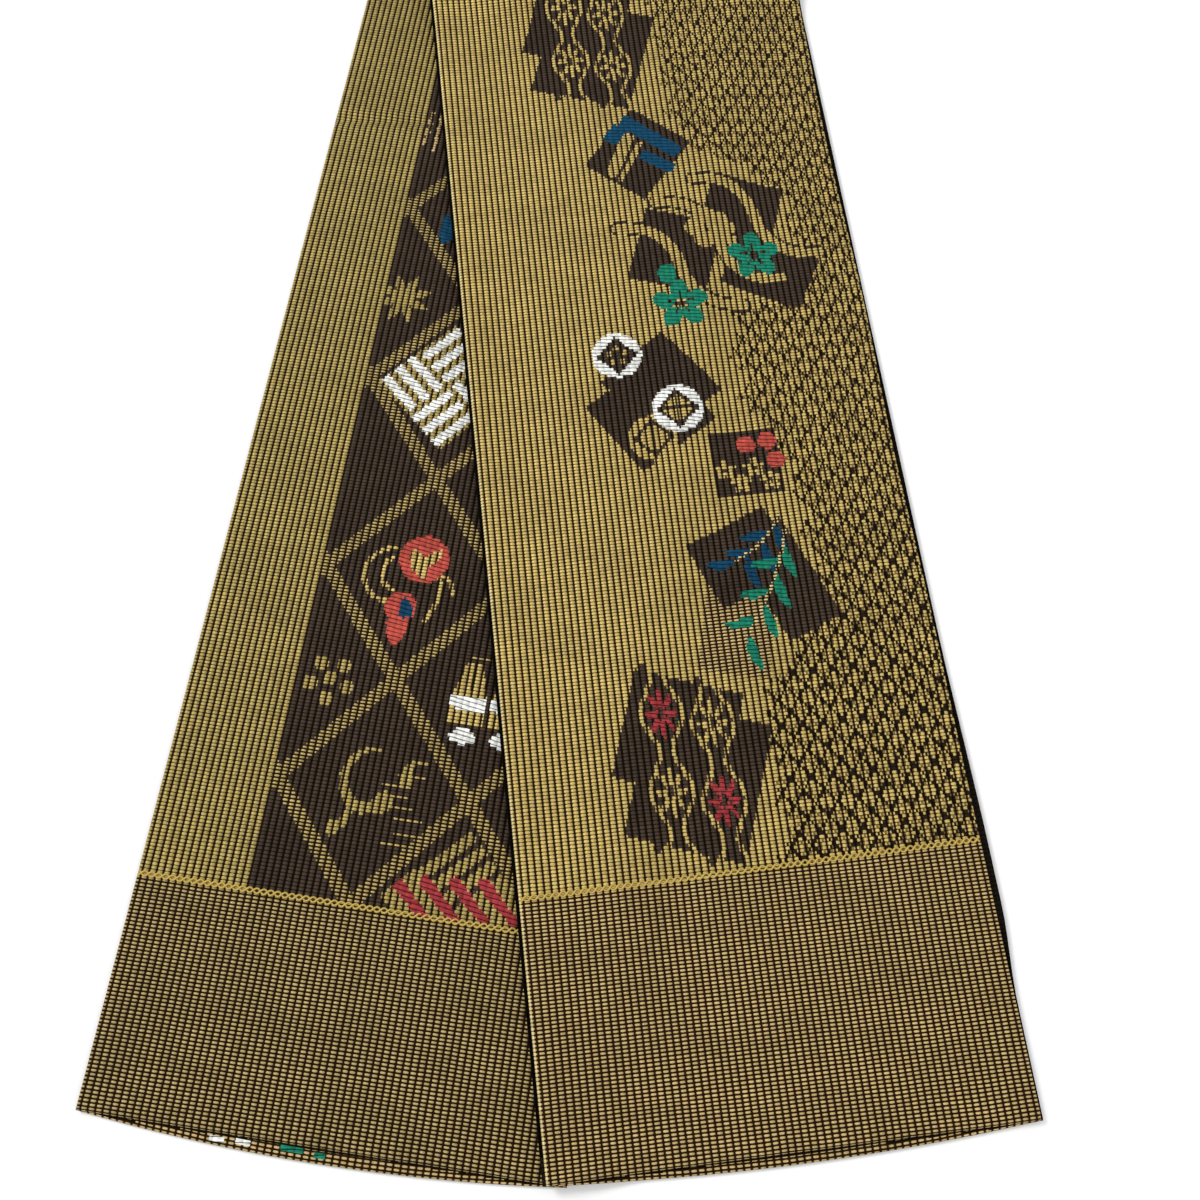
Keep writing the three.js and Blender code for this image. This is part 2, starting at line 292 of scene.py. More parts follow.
class Cloth:
    """A strip of cloth as a grid: columns across it, and rows at given distances along it."""

    def __init__(self, name, columns, along, ribs):
        rows = len(along) - 1
        bpy.ops.object.select_all(action="DESELECT")
        bpy.ops.mesh.primitive_grid_add(x_subdivisions=columns, y_subdivisions=rows, size=1)
        self.piece = bpy.context.object
        self.piece.name = name
        self.piece.data.name = name
        mesh = self.piece.data
        flat = np.empty(len(mesh.vertices) * 3)
        mesh.vertices.foreach_get("co", flat)
        flat = flat.reshape(-1, 3) + 0.5
        self.column = np.rint(flat[:, 0] * columns).astype(int)
        row = np.rint(flat[:, 1] * rows).astype(int)
        self.share = self.column / columns
        self.along = np.asarray(along)[row]

        corners = np.empty(len(mesh.loops), int)
        mesh.loops.foreach_get("vertex_index", corners)
        places = np.column_stack([self.share * ribs, self.along / PICK])[corners]
        mesh.uv_layers[0].name = "cloth"
        mesh.uv_layers["cloth"].data.foreach_set("uv", places.ravel())

        centres = np.empty(len(mesh.polygons) * 3)
        mesh.polygons.foreach_get("center", centres)
        centres = centres.reshape(-1, 3) + 0.5
        self.face_share = centres[:, 0]
        face_row = np.floor(centres[:, 1] * rows).astype(int)
        self.face_along = (np.asarray(along)[face_row] + np.asarray(along)[face_row + 1]) / 2
        self.face_corners = corners.reshape(-1, 4)

    def dress(self, yarn, weave):
        """Sets the yarn and the weave of every face."""
        mesh = self.piece.data
        faces = len(mesh.polygons)
        colour = mesh.attributes.new("yarn", "FLOAT_COLOR", "FACE")
        colour.data.foreach_set("color", np.broadcast_to(yarn, (faces, 4)).ravel())
        kind = mesh.attributes.new("weave", "FLOAT", "FACE")
        kind.data.foreach_set("value", np.broadcast_to(weave, (faces,)).ravel().astype(float))

    def lay(self, places):
        """Puts every point in its place, given in millimetres."""
        mesh = self.piece.data
        mesh.vertices.foreach_set("co", (places * MM).ravel())
        mesh.shade_smooth()
        mesh.update()

    def finish(self, material, slot, nodes, flat, held, rests_on):
        self.piece.data.materials.append(material)
        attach(self.piece, "root")
        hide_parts(*nodes)


SIDE_WRAP = SIDE_RADIUS * math.pi / 2
HALF_CUT = BAND / 2 - SIDE_RADIUS + SIDE_WRAP
RIB = 2 * HALF_CUT / RIBS


def round_side(cut):
    """Where a distance across the cut cloth comes to lie, and how far it has turned inwards."""
    flat = BAND / 2 - SIDE_RADIUS
    turned = np.clip(np.abs(cut) - flat, 0, None) / SIDE_RADIUS
    x = np.sign(cut) * (np.minimum(np.abs(cut), flat) + SIDE_RADIUS * np.sin(turned))
    return x, SIDE_RADIUS * np.sin(turned)


def lie_flat(x, s):
    """No height under the te leg, and no other shift either."""
    return np.zeros_like(x)


TARE_TOP = 21.0
DRAPE_RUN = 26.0
EDGE_LIFT = 1.2
CLIMB_START, CLIMB_END = 450.0, 538.0


def lie_over(x, s):
    """Height under the tare leg: on the surface, over the te leg, then up on to the stack."""
    clear = te_leg.right_of(tare_leg.plan(x, s)) - BAND / 2
    over = LAYER_PITCH * (1 - smooth_step(clear, 0, DRAPE_RUN))
    over = over + EDGE_LIFT * smooth_step(-x, 62, 80) * smooth_step(s, -20, 60)
    climb = smooth_step(s, CLIMB_START, CLIMB_END)
    return over + (TARE_TOP - over) * climb


BACK_COLUMNS = 132
BACK_ROWS = 150
PLY = 1.1
TUCK = 8.0
RAW_EDGE = 2.5
TURNED_IN = 12.0
FLOOR_GAP = 0.05


def back_ply(name, leg, height_under, bow, side_peep):
    """A back ply: from its edge tucked inside, round the bowed end, and along the bottom."""
    bend = PLY / 2
    half_turn = math.pi * bend
    turned = TUCK + half_turn
    far = turned + leg.length + bow
    along = [0, RAW_EDGE]
    along += [RAW_EDGE + (TUCK - RAW_EDGE) * step / 10 for step in range(1, 11)]
    along += [TUCK + half_turn * step / 6 for step in range(1, 7)]
    along += [turned + 2, turned + 5, turned + 9]
    start = along[-1]
    along += [start + (far - start) * step / BACK_ROWS for step in range(1, BACK_ROWS + 1)]
    cloth = Cloth(name, BACK_COLUMNS, along, RIBS)

    cut = (2 * cloth.share - 1) * HALF_CUT
    x, inward = round_side(cut)
    up = SIDE_RADIUS - np.sqrt(np.clip(SIDE_RADIUS**2 - inward**2, 0, None))
    bulge = bow * (1 - (2 * x / BAND) ** 2)
    reach = cloth.along
    angle = np.clip((reach - TUCK) / bend, 0, math.pi)
    level = np.where(reach < TUCK, TUCK - reach, np.maximum(reach - turned, 0))
    s = level + bend * (1 - np.sin(angle))
    s = s - bulge * (1 - smooth_step(s, 0, 90))
    z = bend * (1 + np.cos(angle))
    z = np.where(reach >= turned, up, np.maximum(z, np.minimum(up, PLY)))
    plan = leg.plan(x + side_peep(x, s), np.minimum(s, leg.length))
    under = height_under(x, np.clip(s, 0, leg.length))
    cloth.lay(np.column_stack([plan, under + z + FLOOR_GAP]))
    # A painted shadow: a thin dark band on the tucked ply, just beyond the face's rounded sewn end.
    face_x = (2 * cloth.face_share - 1) * HALF_CUT
    face_end = TUCK + bend - bow * (1 - (2 * face_x / BAND) ** 2)
    cloth.shaded = (cloth.face_along < TUCK) & (cloth.face_along > face_end - 0.1)
    cloth.shaded &= cloth.face_along < face_end + 0.55
    return cloth


def flat_size(length):
    """A ply's width and length as cut, in metres."""
    return 2 * HALF_CUT * MM, length * MM


def back_pattern(cloth, patches):
    """The back's yarns: a beige ground with brocaded patches, and a painted shadow, a dark line under
    the face's end.
    """
    faces = len(cloth.face_share)
    yarn = np.tile(BEIGE, (faces, 1))
    weave = np.full(faces, THIN)
    x = (2 * cloth.face_share - 1) * HALF_CUT
    for left, right, near, far, colour in patches:
        inside = (x > left) & (x < right) & (cloth.face_along > near) & (cloth.face_along < far)
        yarn[inside] = colour
        weave[inside] = FLOAT
    # The painted shadow under the face's end.
    yarn[cloth.shaded] = PAINTED_SHADE
    cloth.dress(yarn, weave)


WHITE = dye("d6d7d2")
GREEN = dye("147058")
BLUE = dye("093d58")
NAVY = dye("0a3852")
CORAL = dye("a5443a")
CRIMSON = dye("8c2f33")

back_material = woven_material("back cloth")
te_back = back_ply("te_back_cloth", te_leg, lie_flat, 4.5, lie_flat)
back_pattern(
    te_back,
    [
        (-35, -31, 5.6, 7.2, WHITE),
        (-27, -22.5, 5.2, 6.9, WHITE),
        (-12, -5, 4.6, 6.6, GREEN),
        (-1, 3, 5.4, 6.8, GREEN),
    ],
)
te_back.finish(
    back_material,
    "back_cloth",
    ["te_back"],
    flat_size(te_leg.length + TURNED_IN),
    "laid",
    (),
)

# ---------------------------------------------------------------- te leg, face ply
# The upper wall of the te leg: gold ribs with a figured half. Each rib is a row of weft pads,
# and the figures change the yarn from pad to pad, with silk floats brocaded in.

COLUMNS_A_RIB = 3
RELIEF = 0.4
FINE_ROWS = 378


def rows_along(length, fine_rows, picks_a_row):
    """Distances along a face: a row to each pick as far as the figures go, then wider rows."""
    fine = [row * PICK for row in range(fine_rows + 1)]
    rest = length - fine[-1]
    steps = math.ceil(rest / (picks_a_row * PICK))
    return fine + [fine[-1] + rest * step / steps for step in range(1, steps + 1)]


class Chart:
    """The weaver's chart of a face: yarn and weave of each float, and where it lies."""

    def __init__(self, cloth, ground):
        self.x = (2 * cloth.face_share - 1) * HALF_CUT
        self.s = cloth.face_along - (SIDE_WRAP - SIDE_RADIUS)
        faces = len(self.s)
        self.yarn = np.tile(ground, (faces, 1))
        self.weave = np.full(faces, FULL)

    def ribbed(self, shape, yarn, weave=FULL):
        """A figure in the ground weave, whose pads take another yarn."""
        inside = shape(self.x, self.s)
        self.yarn[inside] = yarn
        self.weave[inside] = weave

    def brocade(self, shape, yarn):
        """A figure in silk floats, which lie over the ribs."""
        inside = shape(self.x, self.s)
        self.yarn[inside] = yarn
        self.weave[inside] = FLOAT


def polygon(*corners):
    """A closed outline of straight sides."""

    def shape(x, s):
        inside = np.zeros(len(x), bool)
        for (ax, ay), (bx, by) in zip(corners, corners[1:] + corners[:1]):
            if ay == by:
                continue
            spans = (s > ay) != (s > by)
            inside ^= spans & (x < ax + (s - ay) * (bx - ax) / (by - ay))
        return inside

    return shape


def turned(x, s, centre, turn):
    """Places as seen from a centre, along axes turned by some degrees."""
    angle = math.radians(turn)
    dx, ds = x - centre[0], s - centre[1]
    return dx * math.cos(angle) + ds * math.sin(angle), ds * math.cos(angle) - dx * math.sin(angle)


def square(centre, size, turn=0):
    def shape(x, s):
        u, v = turned(x, s, centre, turn)
        return (np.abs(u) < size[0] / 2) & (np.abs(v) < size[1] / 2)

    return shape


def disc(centre, radius, tall=1.0):
    def shape(x, s):
        return np.hypot(x - centre[0], (s - centre[1]) / tall) < radius

    return shape


def stroke(points, width, taper=1.0):
    """A line through points, which narrows towards its last one by the taper."""

    def shape(x, s):
        inside = np.zeros(len(x), bool)
        pieces = len(points) - 1
        for i, ((ax, ay), (bx, by)) in enumerate(zip(points, points[1:])):
            length2 = (bx - ax) ** 2 + (by - ay) ** 2
            part = np.clip(((x - ax) * (bx - ax) + (s - ay) * (by - ay)) / length2, 0, 1)
            away = np.hypot(x - ax - part * (bx - ax), s - ay - part * (by - ay))
            done = (i + part) / pieces
            inside |= away < width / 2 * (1 + (taper - 1) * done)
        return inside

    return shape


def curve(start, middle, end, steps=8):
    """Points of a smooth bow from start to end, pulled towards a middle point."""
    points = []
    for step in range(steps + 1):
        t = step / steps
        weights = ((1 - t) ** 2, 2 * t * (1 - t), t * t)
        parts = list(zip(weights, (start, middle, end)))
        points.append(tuple(sum(weight * point[i] for weight, point in parts) for i in (0, 1)))
    return points


def arc(centre, radius, start, end, steps=10, tall=1.0):
    """Points of an arc, from one angle to another in degrees."""
    angles = [math.radians(start + (end - start) * step / steps) for step in range(steps + 1)]
    return [(centre[0] + radius * math.cos(a), centre[1] + tall * radius * math.sin(a)) for a in angles]


def around(centre, radius, count, turn=90):
    """Places spaced evenly round a centre."""
    return arc(centre, radius, turn, turn + 360 * (count - 1) / count, count - 1)


def petals(centre, radius, count, turn=90, fat=0.5, hollow=0.12, tall=1.0):
    """A ring of rounded petals round a small hollow."""

    def shape(x, s):
        dx, ds = x - centre[0], (s - centre[1]) / tall
        away = np.hypot(dx, ds)
        angle = (np.arctan2(ds, dx) - math.radians(turn)) * count / (2 * math.pi)
        swing = np.abs(angle - np.rint(angle)) * 2 * math.pi / count
        u, v = away * np.cos(swing), away * np.sin(swing)
        middle, half = radius * 0.6, radius * 0.42
        lobe = ((u - middle) / half) ** 2 + (v / (radius * fat * 0.62)) ** 2 < 1
        return lobe & (away > radius * hollow)

    return shape


def leaf(base, tip, width, bow=0.0):
    """A pointed leaf between two places, bowed to one side."""

    def shape(x, s):
        length = math.hypot(tip[0] - base[0], tip[1] - base[1])
        ux, uy = (tip[0] - base[0]) / length, (tip[1] - base[1]) / length
        u = ((x - base[0]) * ux + (s - base[1]) * uy) / length
        v = (s - base[1]) * ux - (x - base[0]) * uy
        inside = (u > 0) & (u < 1)
        rise = np.sin(np.pi * np.clip(u, 0, 1))
        return inside & (np.abs(v - bow * rise) < width / 2 * rise**0.7)

    return shape


def either(*shapes):
    return lambda x, s: np.any([shape(x, s) for shape in shapes], axis=0)


def both(*shapes):
    return lambda x, s: np.all([shape(x, s) for shape in shapes], axis=0)


def without(shape, *others):
    return lambda x, s: shape(x, s) & ~either(*others)(x, s)


def face_ply(name, leg, height_under, creases, side_sway):
    """A face ply: the figured strip, ribbed in relief, rounded down at its sides and sewn end."""
    along = rows_along(leg.length + SIDE_WRAP - SIDE_RADIUS, FINE_ROWS, 3)
    cloth = Cloth(name, RIBS * COLUMNS_A_RIB, along, RIBS)
    cut = (2 * cloth.share - 1) * HALF_CUT
    x, inward = round_side(cut)
    turned_in = np.clip(SIDE_WRAP - cloth.along, 0, None) / SIDE_RADIUS
    s = np.maximum(cloth.along - (SIDE_WRAP - SIDE_RADIUS), SIDE_RADIUS * (1 - np.sin(turned_in)))
    inward_end = SIDE_RADIUS * np.sin(turned_in)
    drop = SIDE_RADIUS - np.sqrt(np.clip(SIDE_RADIUS**2 - inward**2 - inward_end**2, 0, None))
    cloth.x, cloth.s, cloth.drop = x, s, drop
    cloth.sway = side_sway(x, s)
    cloth.lift = creases(x, s)
    cloth.leg, cloth.height_under = leg, height_under
    return cloth


def weave_face(cloth, chart):
    """Lays a face with the relief of its weave: low between ribs, raised where silk floats."""
    cloth.dress(chart.yarn, chart.weave)
    points = len(cloth.x)
    floats = np.zeros(points)
    is_float = chart.weave == FLOAT
    for corner in range(4):
        np.maximum.at(floats, cloth.face_corners[:, corner], is_float.astype(float))
    groove = (cloth.column % COLUMNS_A_RIB == 0) * RELIEF
    groove = np.where(floats > 0, groove * 0.25 - 0.12, groove)
    plan = cloth.leg.plan(cloth.x + cloth.sway, cloth.s)
    under = cloth.height_under(cloth.x, cloth.s)
    z = under + THICKNESS - cloth.drop - groove * (cloth.drop < 1.2) + cloth.lift
    cloth.lay(np.column_stack([plan, z]))


def trough(distance, width, depth):
    """A soft crease: a narrow trough with a low ridge on either side."""
    near = (distance / width) ** 2
    return -depth * np.exp(-near) * (1 - 0.5 * near)


def te_creases(x, s):
    """The press crease up from the sewn end, a storage crease across, and a slight billow."""
    press = trough(x - 1.5 - 0.012 * s, 2.0, 0.8) * (1 - smooth_step(s, 40, 95))
    storage = trough(s - 403 - 0.10 * x, 3.0, 0.9)
    billow = 0.25 * np.sin(x / 23 + 1) * np.sin(s / 71)
    return press + storage + billow * smooth_step(80 - np.abs(x), 0, 20)


def no_sway(x, s):
    return np.zeros_like(x)


te_face = face_ply("te_face_cloth", te_leg, lie_flat, te_creases, no_sway)
# The te leg's ground is in its gold with painted shade.
te_chart = Chart(te_face, TE_SHADED_GOLD)
TE_LINE = 75.6

# The figured half: a dark ground crossed by a lattice of fine gold pads.
KNOT_STEP = 39.9
FIRST_KNOT = 75.8
LATTICE_HALF = 34.0
LATTICE_MIDDLE = -7.0


def te_ground(x, s):
    return (x > 16 * RIB - HALF_CUT) & (s > TE_LINE)


def te_lattice(x, s):
    """Diamonds of double lines, every second knot half a diamond aside."""
    u = (x - LATTICE_MIDDLE - 0.9) / LATTICE_HALF
    v = (s - FIRST_KNOT) / KNOT_STEP
    rise = np.abs(u + v - 2 * np.rint((u + v) / 2))
    fall = np.abs(v - u - 2 * np.rint((v - u) / 2))
    line = np.minimum(rise, fall)
    return te_ground(x, s) & (line < 0.095)


te_chart.ribbed(te_ground, BROWN)
te_chart.ribbed(te_lattice, DULL_GOLD, THIN)

# A gourd of coral silk, with its cords in gold.
te_chart.ribbed(stroke(arc((-16, 195), 9.5, 85, 300, tall=1.1), 1.6), GOLD)
te_chart.ribbed(stroke(arc((-14, 196), 5.0, 120, 270, tall=1.3), 1.5), GOLD)
te_chart.ribbed(stroke(curve((2, 197), (6, 190), (0, 179)), 1.6), GOLD)
te_chart.ribbed(stroke(curve((3, 197), (8, 196), (8, 190)), 1.6), GOLD)
te_chart.brocade(disc((-4.5, 202.5), 9.2, 1.04), CORAL)
te_chart.brocade(either(disc((-9.5, 183), 5.8, 1.0), leaf((-9.5, 184), (-9.5, 168), 8)), CORAL)
te_chart.ribbed(either(leaf((-9, 206), (-3, 195), 6), leaf((-6, 199), (2, 207), 4)), GOLD)
te_chart.brocade(either(leaf((-9, 187), (-5.5, 179), 4), disc((-7.5, 181.5), 2.6)), NAVY)

# Six dots, a bell pair, comma swirls over short dashes, a burst of leaves.
for dot in [(-29.5, 152.5)] + around((-29.5, 152.5), 7, 5, -90):
    te_chart.ribbed(disc(dot, 2.5, 1.1), TE_SHADED_GOLD)
for bell in ((21.5, 152), (36, 152)):
    x, s = bell
    left = [(x - 6.5, s - 9), (x - 6.5, s), (x - 2.5, s + 14)]
    right = [(x + 2.5, s + 14), (x + 6.5, s), (x + 6.5, s - 9)]
    te_chart.ribbed(polygon(*left, *right), GOLD)
    te_chart.ribbed(stroke([(x, s + 15), (x, s + 4)], 1.2), BROWN)
    te_chart.brocade(square((x, s - 1.5), (13, 4.5), -3), WHITE)
    te_chart.brocade(leaf((x - 5, s - 14), (x + 5, s - 14), 6, 0.6), WHITE)
te_chart.ribbed(stroke([(20, 167), (38, 167)], 1.3), DULL_GOLD, THIN)
for step in range(7):
    x, s = 5 + 4 * math.sin(1.1 * step), 98 + 4 * step
    te_chart.ribbed(stroke([(x - 4.5, s), (x + 4.5, s)], 1.1), DULL_GOLD, THIN)
for centre, radius, start, end, head in (
    ((-8, 119), 9, 80, 315, 3.6),
    ((-19, 107), 6, 70, -75, 2.5),
    ((9, 122), 4.5, 60, 200, 2.4),
):
    tail = arc(centre, radius, start, end, tall=1.15)
    te_chart.ribbed(stroke(tail, 1.2, 1.5 * head / 1.2), TE_SHADED_GOLD)
    te_chart.ribbed(disc(tail[-1], head, 1.1), TE_SHADED_GOLD)
for tip in around((-34, 312), 11.5, 8, 22.5):
    te_chart.ribbed(leaf((-34, 312), tip, 3.4), TE_SHADED_GOLD)

# A woven fence in white silk and gold, and a striped square with crimson slashes.
FENCE_MIDDLE, FENCE_TURN, FENCE_HALF = (-9.2, 275.3), 49, 19.3
SLAT_PITCH = 6.4
STRIPED_MIDDLE, STRIPED_TURN = (29.5, 81), 45


def fence(x, s):
    u, v = turned(x, s, FENCE_MIDDLE, FENCE_TURN)
    return (np.abs(u) < FENCE_HALF) & (np.abs(v) < FENCE_HALF)


def fence_silk(x, s):
    """Slats that turn across each other in four blocks, three to a block."""
    u, v = turned(x, s, FENCE_MIDDLE, FENCE_TURN)
    place = np.abs(np.where(u * v > 0, v, u))
    slats = np.abs(place % SLAT_PITCH - SLAT_PITCH / 2) < 1.7
    return fence(x, s) & slats & (np.minimum(np.abs(u), np.abs(v)) > 0.8)


te_chart.ribbed(fence, TE_SHADED_GOLD)
te_chart.brocade(fence_silk, WHITE)


def striped_square(x, s):
    u, v = turned(x, s, STRIPED_MIDDLE, STRIPED_TURN)
    return (np.abs(u) < 18.5) & (np.abs(v) < 18) & te_ground(x, s)


def dark_stripes(x, s):
    u, v = turned(x, s, STRIPED_MIDDLE, STRIPED_TURN)
    stripes = (np.abs(v / 6 - np.rint(v / 6)) < 0.17) & (v > -3) & (u > -3)
    return striped_square(x, s) & stripes


te_chart.ribbed(striped_square, TE_SHADED_GOLD)
te_chart.ribbed(dark_stripes, BROWN)
for step in range(4):
    x, s = 8 + 10 * step, 86 + step
    slash = stroke([(x, s), (x + 12, s - 11)], 4.2, 0.7)
    te_chart.brocade(both(slash, striped_square), CRIMSON)
te_chart.brocade(disc((-22.5, 347), 3.2, 2.2), BLUE)
for step in range(7):
    x, s = -37.5 + 2.2 * (-1) ** step, 388 + 2.6 * step
    te_chart.ribbed(stroke([(x - 0.5, s - 3), (x + 0.5, s + 3)], 1.3), BEIGE)
te_chart.ribbed(lambda x, s: s < TE_LINE, TE_SHADED_BEIGE, THIN)
weave_face(te_face, te_chart)

face_material = woven_material("face cloth")
te_face.finish(
    face_material,
    "face_cloth",
    ["te_face"],
    flat_size(te_leg.length),
    "laid",
    ("te_back",),
)

# ---------------------------------------------------------------- tare leg, back ply
# The lower wall of the tare leg, lying on the te leg and on the surface beside it. Its black
# selvage shows along the right side.


def tare_peep(x, s):
    """How far the selvage peeps out at each side: most on the right, by the gold line."""
    left = -1.1 * smooth_step(-x, 72, 79)
    right = 0.5 + 1.9 * smooth_step(s, 36, 68) - 1.3 * smooth_step(s, 85, 170)
    right = right * smooth_step(x, 72, 79)
    return left + right


SELVAGE = dye("15110b")
tare_back = back_ply("tare_back_cloth", tare_leg, lie_over, 3.5, tare_peep)
selvages = ((-HALF_CUT - 1, -HALF_CUT + 4), (HALF_CUT - 4, HALF_CUT + 1))
back_pattern(tare_back, [(*sides, -1, 2000, SELVAGE) for sides in selvages])
tare_back.finish(
    back_material,
    "back_cloth",
    ["tare_back"],
    flat_size(tare_leg.length + TURNED_IN),
    "laid",
    ("te_face",),
)

# ---------------------------------------------------------------- tare leg, face ply
# The upper wall of the tare leg: plain gold ribs on the left, scattered dark squares with
# traditional figures down the middle, and a fine dark net on the right.


def tare_creases(x, s):
    billow = 0.2 * np.sin(x / 27 + 2) * np.sin(s / 83 + 1)
    ripple = 0.3 * np.sin(s / 19 + x / 40) * smooth_step(s, 330, 470) * smooth_step(x, 30, 75)
    return billow * smooth_step(80 - np.abs(x), 0, 20) + ripple


def tare_sway(x, s):
    """The right side wanders a little."""
    return 0.5 * np.sin(s / 23 + 0.7) * smooth_step(x, 40, 80) * smooth_step(s, 60, 260)


tare_face = face_ply("tare_face_cloth", tare_leg, lie_over, tare_creases, tare_sway)
tare_chart = Chart(tare_face, GOLD)
TARE_LINE = 89.4

# The net: crossing diagonals of dark floats, with a ragged border on its left.
NET_WIDE, NET_LONG = 7.35, 9.5


def net_area(x, s):
    """The border bays out to the right twice on the way up."""
    border = 13 + 28 * smooth_step(s, 140, 190) - 15 * smooth_step(s, 225, 270)
    border = border + 31 * smooth_step(s, 300, 328) - 42 * smooth_step(s, 356, 400)
    ragged = border + 2.5 * np.sin(s / 3.1) + 1.5 * np.sin(s / 1.3 + x)
    return (x > ragged) & (s > TARE_LINE)


def diagonals(x, s, wide, long, half_width):
    """Thin lines crossing in diamonds so wide and so long."""
    rise, fall = x / wide + s / long, x / wide - s / long
    nearest = np.minimum(np.abs(rise - np.rint(rise)), np.abs(fall - np.rint(fall)))
    return nearest * wide < half_width


def net(x, s):
    """The main diagonals: broad by the gold line and fine further up, regular out of sight."""
    bent = x + 0.3 * np.sin(s / 17 + x / 9)
    half_width = 0.6 - 0.22 * smooth_step(s, 150, 260)
    u, v = bent / NET_WIDE, s / NET_LONG
    spot = np.hypot(u - np.rint(u), v - np.rint(v)) < 0.07
    near = diagonals(bent, s, NET_WIDE, NET_LONG, half_width) | spot
    far = diagonals(x, s, 3 * RIB, 9 * PICK, 0.42)
    return net_area(x, s) & np.where(s < FINE_ROWS * PICK, near, far)


def fine_net(x, s):
    """Finer diagonals between the main ones."""
    half_width = 0.3 - 0.06 * smooth_step(s, 150, 300)
    lines = diagonals(x, s, 2 * RIB, 6.3, half_width)
    return net_area(x, s) & lines & (s < FINE_ROWS * PICK)


NET_BROWN = dye("1f170d")
FINE_NET_BROWN = dye("6b5834")
tare_chart.ribbed(fine_net, FINE_NET_BROWN)
tare_chart.ribbed(net, NET_BROWN)

# Dark squares with waving lines and flowers, one by the gold line and one far up the leg.
SWELL_STEP = 28
EDGE_SLOPE = 0.345


def waving_line(middle, swell_at, side):
    """One of a pair of lines, which stand wide apart where a flower lies between them."""
    points = []
    for s in range(-42, 42, 3):
        swell = math.cos(2 * math.pi * (s - swell_at) / SWELL_STEP)
        points.append((middle + side * (5.0 + 2.6 * swell), s))
    return points


def wave_square(rise, colours):
    """Two overlapping dark squares, crossed by pairs of waving lines with flowers between."""
    ground = either(
        square((-18.5, rise + 8.5), (40, 40), -19),
        square((-13.5, rise - 8), (43, 50), -20),
    )
    tare_chart.ribbed(ground, BROWN)
    flowers = []
    for middle, swell_at in ((-23.5, 17), (-5.5, 12)):
        flowers += [(middle, rise + swell_at), (middle, rise + swell_at - SWELL_STEP)]
        for side in (-1, 1):
            points = [(x, rise + s) for x, s in waving_line(middle, swell_at, side)]
            tare_chart.ribbed(both(ground, stroke(points, 1.5)), GOLD)
    for x, edge in ((-28, 24.6), (-9, 24.6), (-31, -40.4), (-13, -40.4)):
        tare_chart.ribbed(disc((x, rise + edge - EDGE_SLOPE * x), 1.3, 1.4), BROWN)
    for (x, s), colour in zip(flowers, colours):
        flower = petals((x, s), 5.6, 8, fat=0.24, hollow=0.16, tall=1.6)
        if colour is GOLD:
            tare_chart.ribbed(both(flower, ground), GOLD)
        else:
            tare_chart.brocade(flower, colour)


wave_square(130, (CRIMSON, GOLD, GOLD, CRIMSON))
wave_square(448, (GOLD, GOLD, GOLD, GOLD))

# A tilted square with teal bars and two gold stripes with rounded ends.
tare_chart.ribbed(square((-1, 386), (30, 35), -41), BROWN)
tare_chart.ribbed(stroke([(-12.5, 378), (-4.5, 394)], 5.2), GOLD)
tare_chart.ribbed(stroke([(-9.5, 374), (0.5, 391)], 2.2), GOLD)
tare_chart.brocade(square((5, 394), (29, 6.2), -42), BLUE)
tare_chart.brocade(square((6.5, 381), (15, 5.2), -38), BLUE)
tare_chart.brocade(square((-9.5, 396.5), (6.5, 9), -41), BLUE)

# Flowing ribbons over three tilted squares, with a gold blossom and two of green silk.


def flowing_ribbon(x, s):
    """Points of an even S that falls to the right."""
    upper = curve((x, s), (x + 20, s), (x + 23, s - 20))
    return upper + curve((x + 23, s - 20), (x + 26, s - 40), (x + 46, s - 40))[1:]


for middle, size, turn in (
    ((8, 337), (32, 34), -20),
    ((38, 355), (30, 28), -20),
    ((45, 325), (34, 26), -28),
):
    tare_chart.ribbed(square(middle, size, turn), BROWN)
for start in ((-14, 350), (3, 361), (20, 371)):
    points = flowing_ribbon(*start)
    tare_chart.ribbed(stroke(points, 6.4), BROWN)
    tare_chart.ribbed(stroke(points, 4.6), GOLD)
tare_chart.ribbed(petals((23, 346.5), 9.5, 5, fat=0.8, hollow=0.18, turn=100), GOLD)
tare_chart.ribbed(disc((31, 346), 3.0, 1.1), GOLD)
tare_chart.brocade(disc((3.0, 326.6), 3.6, 1.3), GREEN)
for middle, radius in (((39.7, 332.6), 10.6), ((6.8, 312.0), 11.2)):
    tare_chart.brocade(petals(middle, radius, 5, fat=0.5, hollow=0.1), GREEN)
    for away in around(middle, 5, 5):
        tare_chart.ribbed(stroke([middle, away], 0.9), BROWN)

# Two dark diamonds with rings cut by four-pointed stars.
for middle, size, turn in (((-6, 277), (34, 33), -53), ((-11.5, 265.5), (35, 37), -57)):
    tare_chart.ribbed(square(middle, size, turn), BROWN)


def star(centre, reach, hollow=1.0):
    """A four-pointed star: a diamond, or with hollow sides below one."""

    def shape(x, s):
        away_x, away_s = np.abs((x - centre[0]) / reach), np.abs((s - centre[1]) / reach)
        return away_x**hollow + away_s**hollow < 1

    return shape


def ring(centre, radius, yarn, cells):
    """A disc of one yarn, cut by a dark star that holds four small cells."""
    tare_chart.ribbed(disc(centre, radius), BROWN)
    stars = (star(centre, 0.9 * radius, 0.9), star(centre, 1.02 * radius, 0.55))
    lens = without(disc(centre, radius), *stars)
    if yarn is GOLD:
        tare_chart.ribbed(lens, yarn)
    else:
        tare_chart.brocade(lens, yarn)
    cross = either(square(centre, (0.8, 20)), square(centre, (20, 1.2)))
    tare_chart.ribbed(without(star(centre, 0.62 * radius, 1.1), cross), cells)


ring((-12, 254.5), 9.6, GOLD, GOLD)
ring((-21.5, 291.5), 9.8, WHITE, BROWN)
for dot in around((-21.5, 291.5), 3.4, 5):
    tare_chart.ribbed(disc(dot, 1.1), GOLD)
ring((-1, 266), 10.0, WHITE, GOLD)

